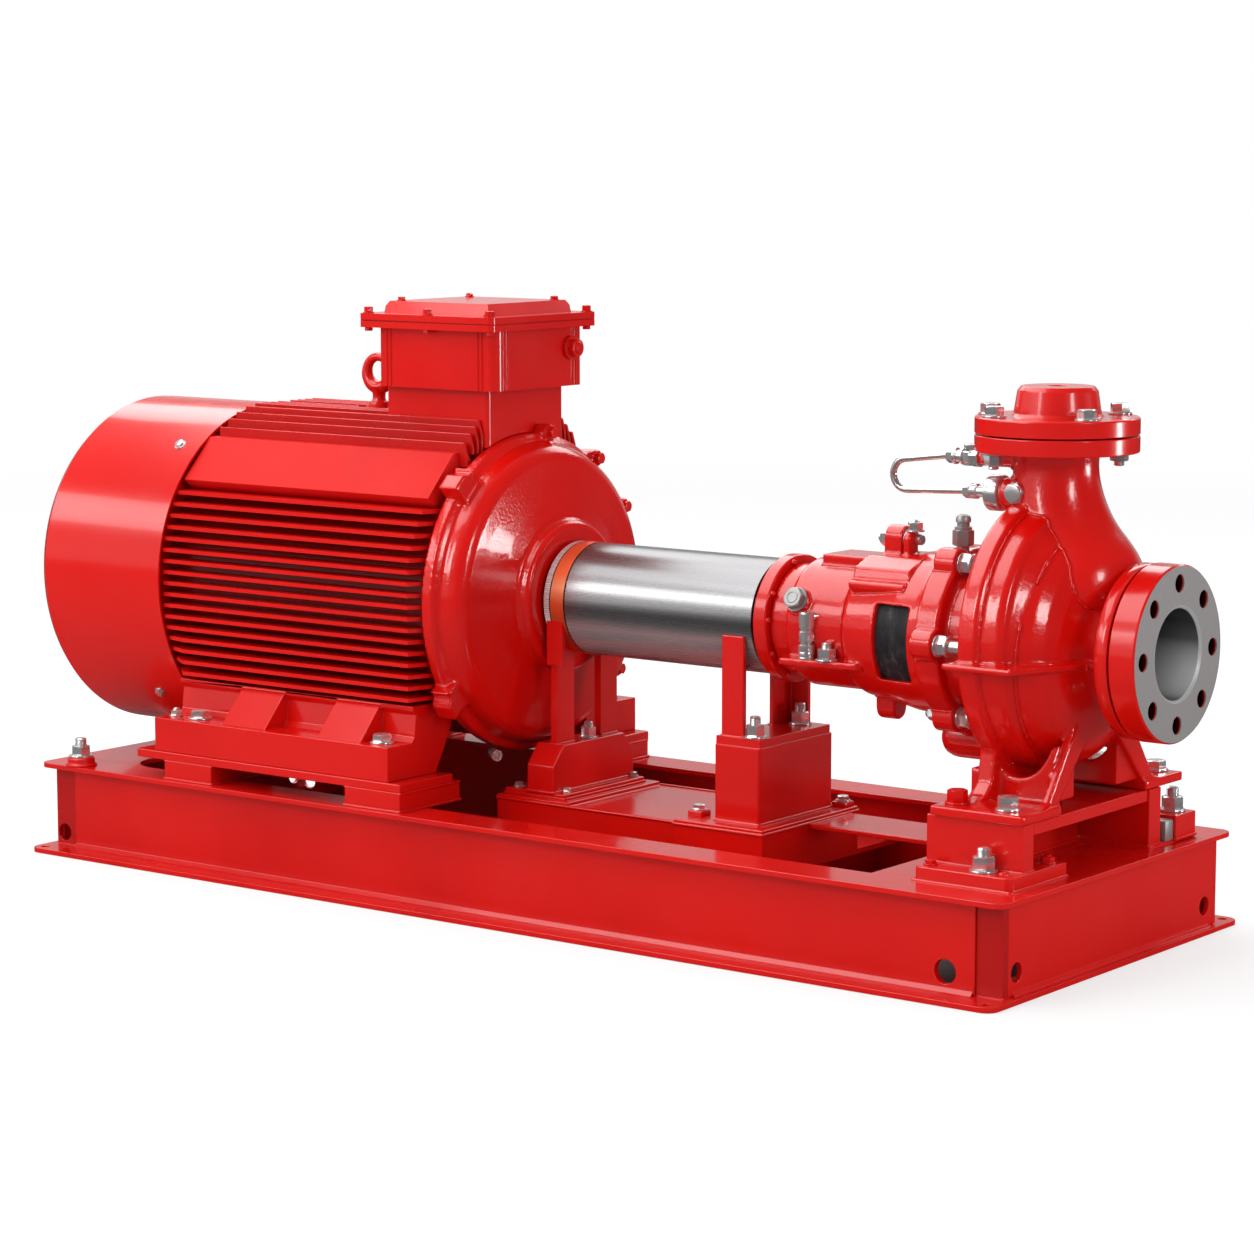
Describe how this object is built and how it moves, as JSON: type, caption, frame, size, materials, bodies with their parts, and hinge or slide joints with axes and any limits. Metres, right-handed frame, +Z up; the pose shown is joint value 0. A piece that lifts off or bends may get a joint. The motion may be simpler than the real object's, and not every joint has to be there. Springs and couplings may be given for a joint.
{
  "type": "fire pump",
  "caption": "Electric fire pump set: finned motor, guarded coupling and end-suction centrifugal pump on a fabricated steel base frame.",
  "frame": {"origin": "centre of the base frame's underside, on the floor", "axes": "+X along the shaft from motor to suction flange, +Y to the far side, +Z up along the outlet"},
  "size_m": [1.983, 0.712, 0.912],
  "materials": {
    "painted_steel": "gloss fire red enamel on fabricated steel",
    "painted_casting": "gloss fire red enamel over cast texture",
    "brushed_guard": "brushed along the turning direction",
    "orange_band": "satin orange",
    "machined_steel": "fine turned",
    "bright_steel": "bright stainless",
    "dark_steel": "oiled dark steel",
    "dark_mesh": "matt dark grey"
  },
  "bodies": {
    "root": {"bearing_cover": "painted_casting", "bearing_housing": "painted_casting", "cable_plug": "painted_casting", "casing_cover": "painted_casting", "center_deck": "painted_steel", "companion_flange": "painted_casting", "corner_webs": "painted_steel", "coupling": "dark_steel", "coupling_guard": "brushed_guard", "cross_members": "painted_steel", "discharge_flange": "painted_casting", "drain_boss": "painted_casting", "drive_end_shield": "painted_casting", "fan_cover": "painted_steel", "flush_fittings": "bright_steel", "flush_pipe": "bright_steel", "foot_channel": "painted_steel", "front_beam": "painted_steel", "front_pedestal": "painted_steel", "guard_band": "orange_band", "housing_plugs": "bright_steel", "left_posts": "painted_steel", "left_saddle": "painted_steel", "lifting_eye": "painted_casting", "motor_end_beam": "painted_steel", "motor_feet": "painted_casting", "motor_frame": "painted_casting", "motor_spacers": "painted_steel", "oiler": "bright_steel", "pump_casing": "painted_casting", "pump_end_beam": "painted_steel", "pump_feet": "painted_casting", "rear_beam": "painted_steel", "rear_pedestal": "painted_steel", "right_pedestal": "painted_steel", "right_plinth": "painted_steel", "right_posts": "painted_steel", "sole_plates": "painted_steel", "stud_bosses": "painted_casting", "suction_flange": "machined_steel", "terminal_box": "painted_casting", "terminal_box_lid": "painted_casting", "terminal_box_neck": "painted_casting", "tie_plate": "painted_steel", "window_mesh": "dark_mesh"}
  },
  "joints": []
}
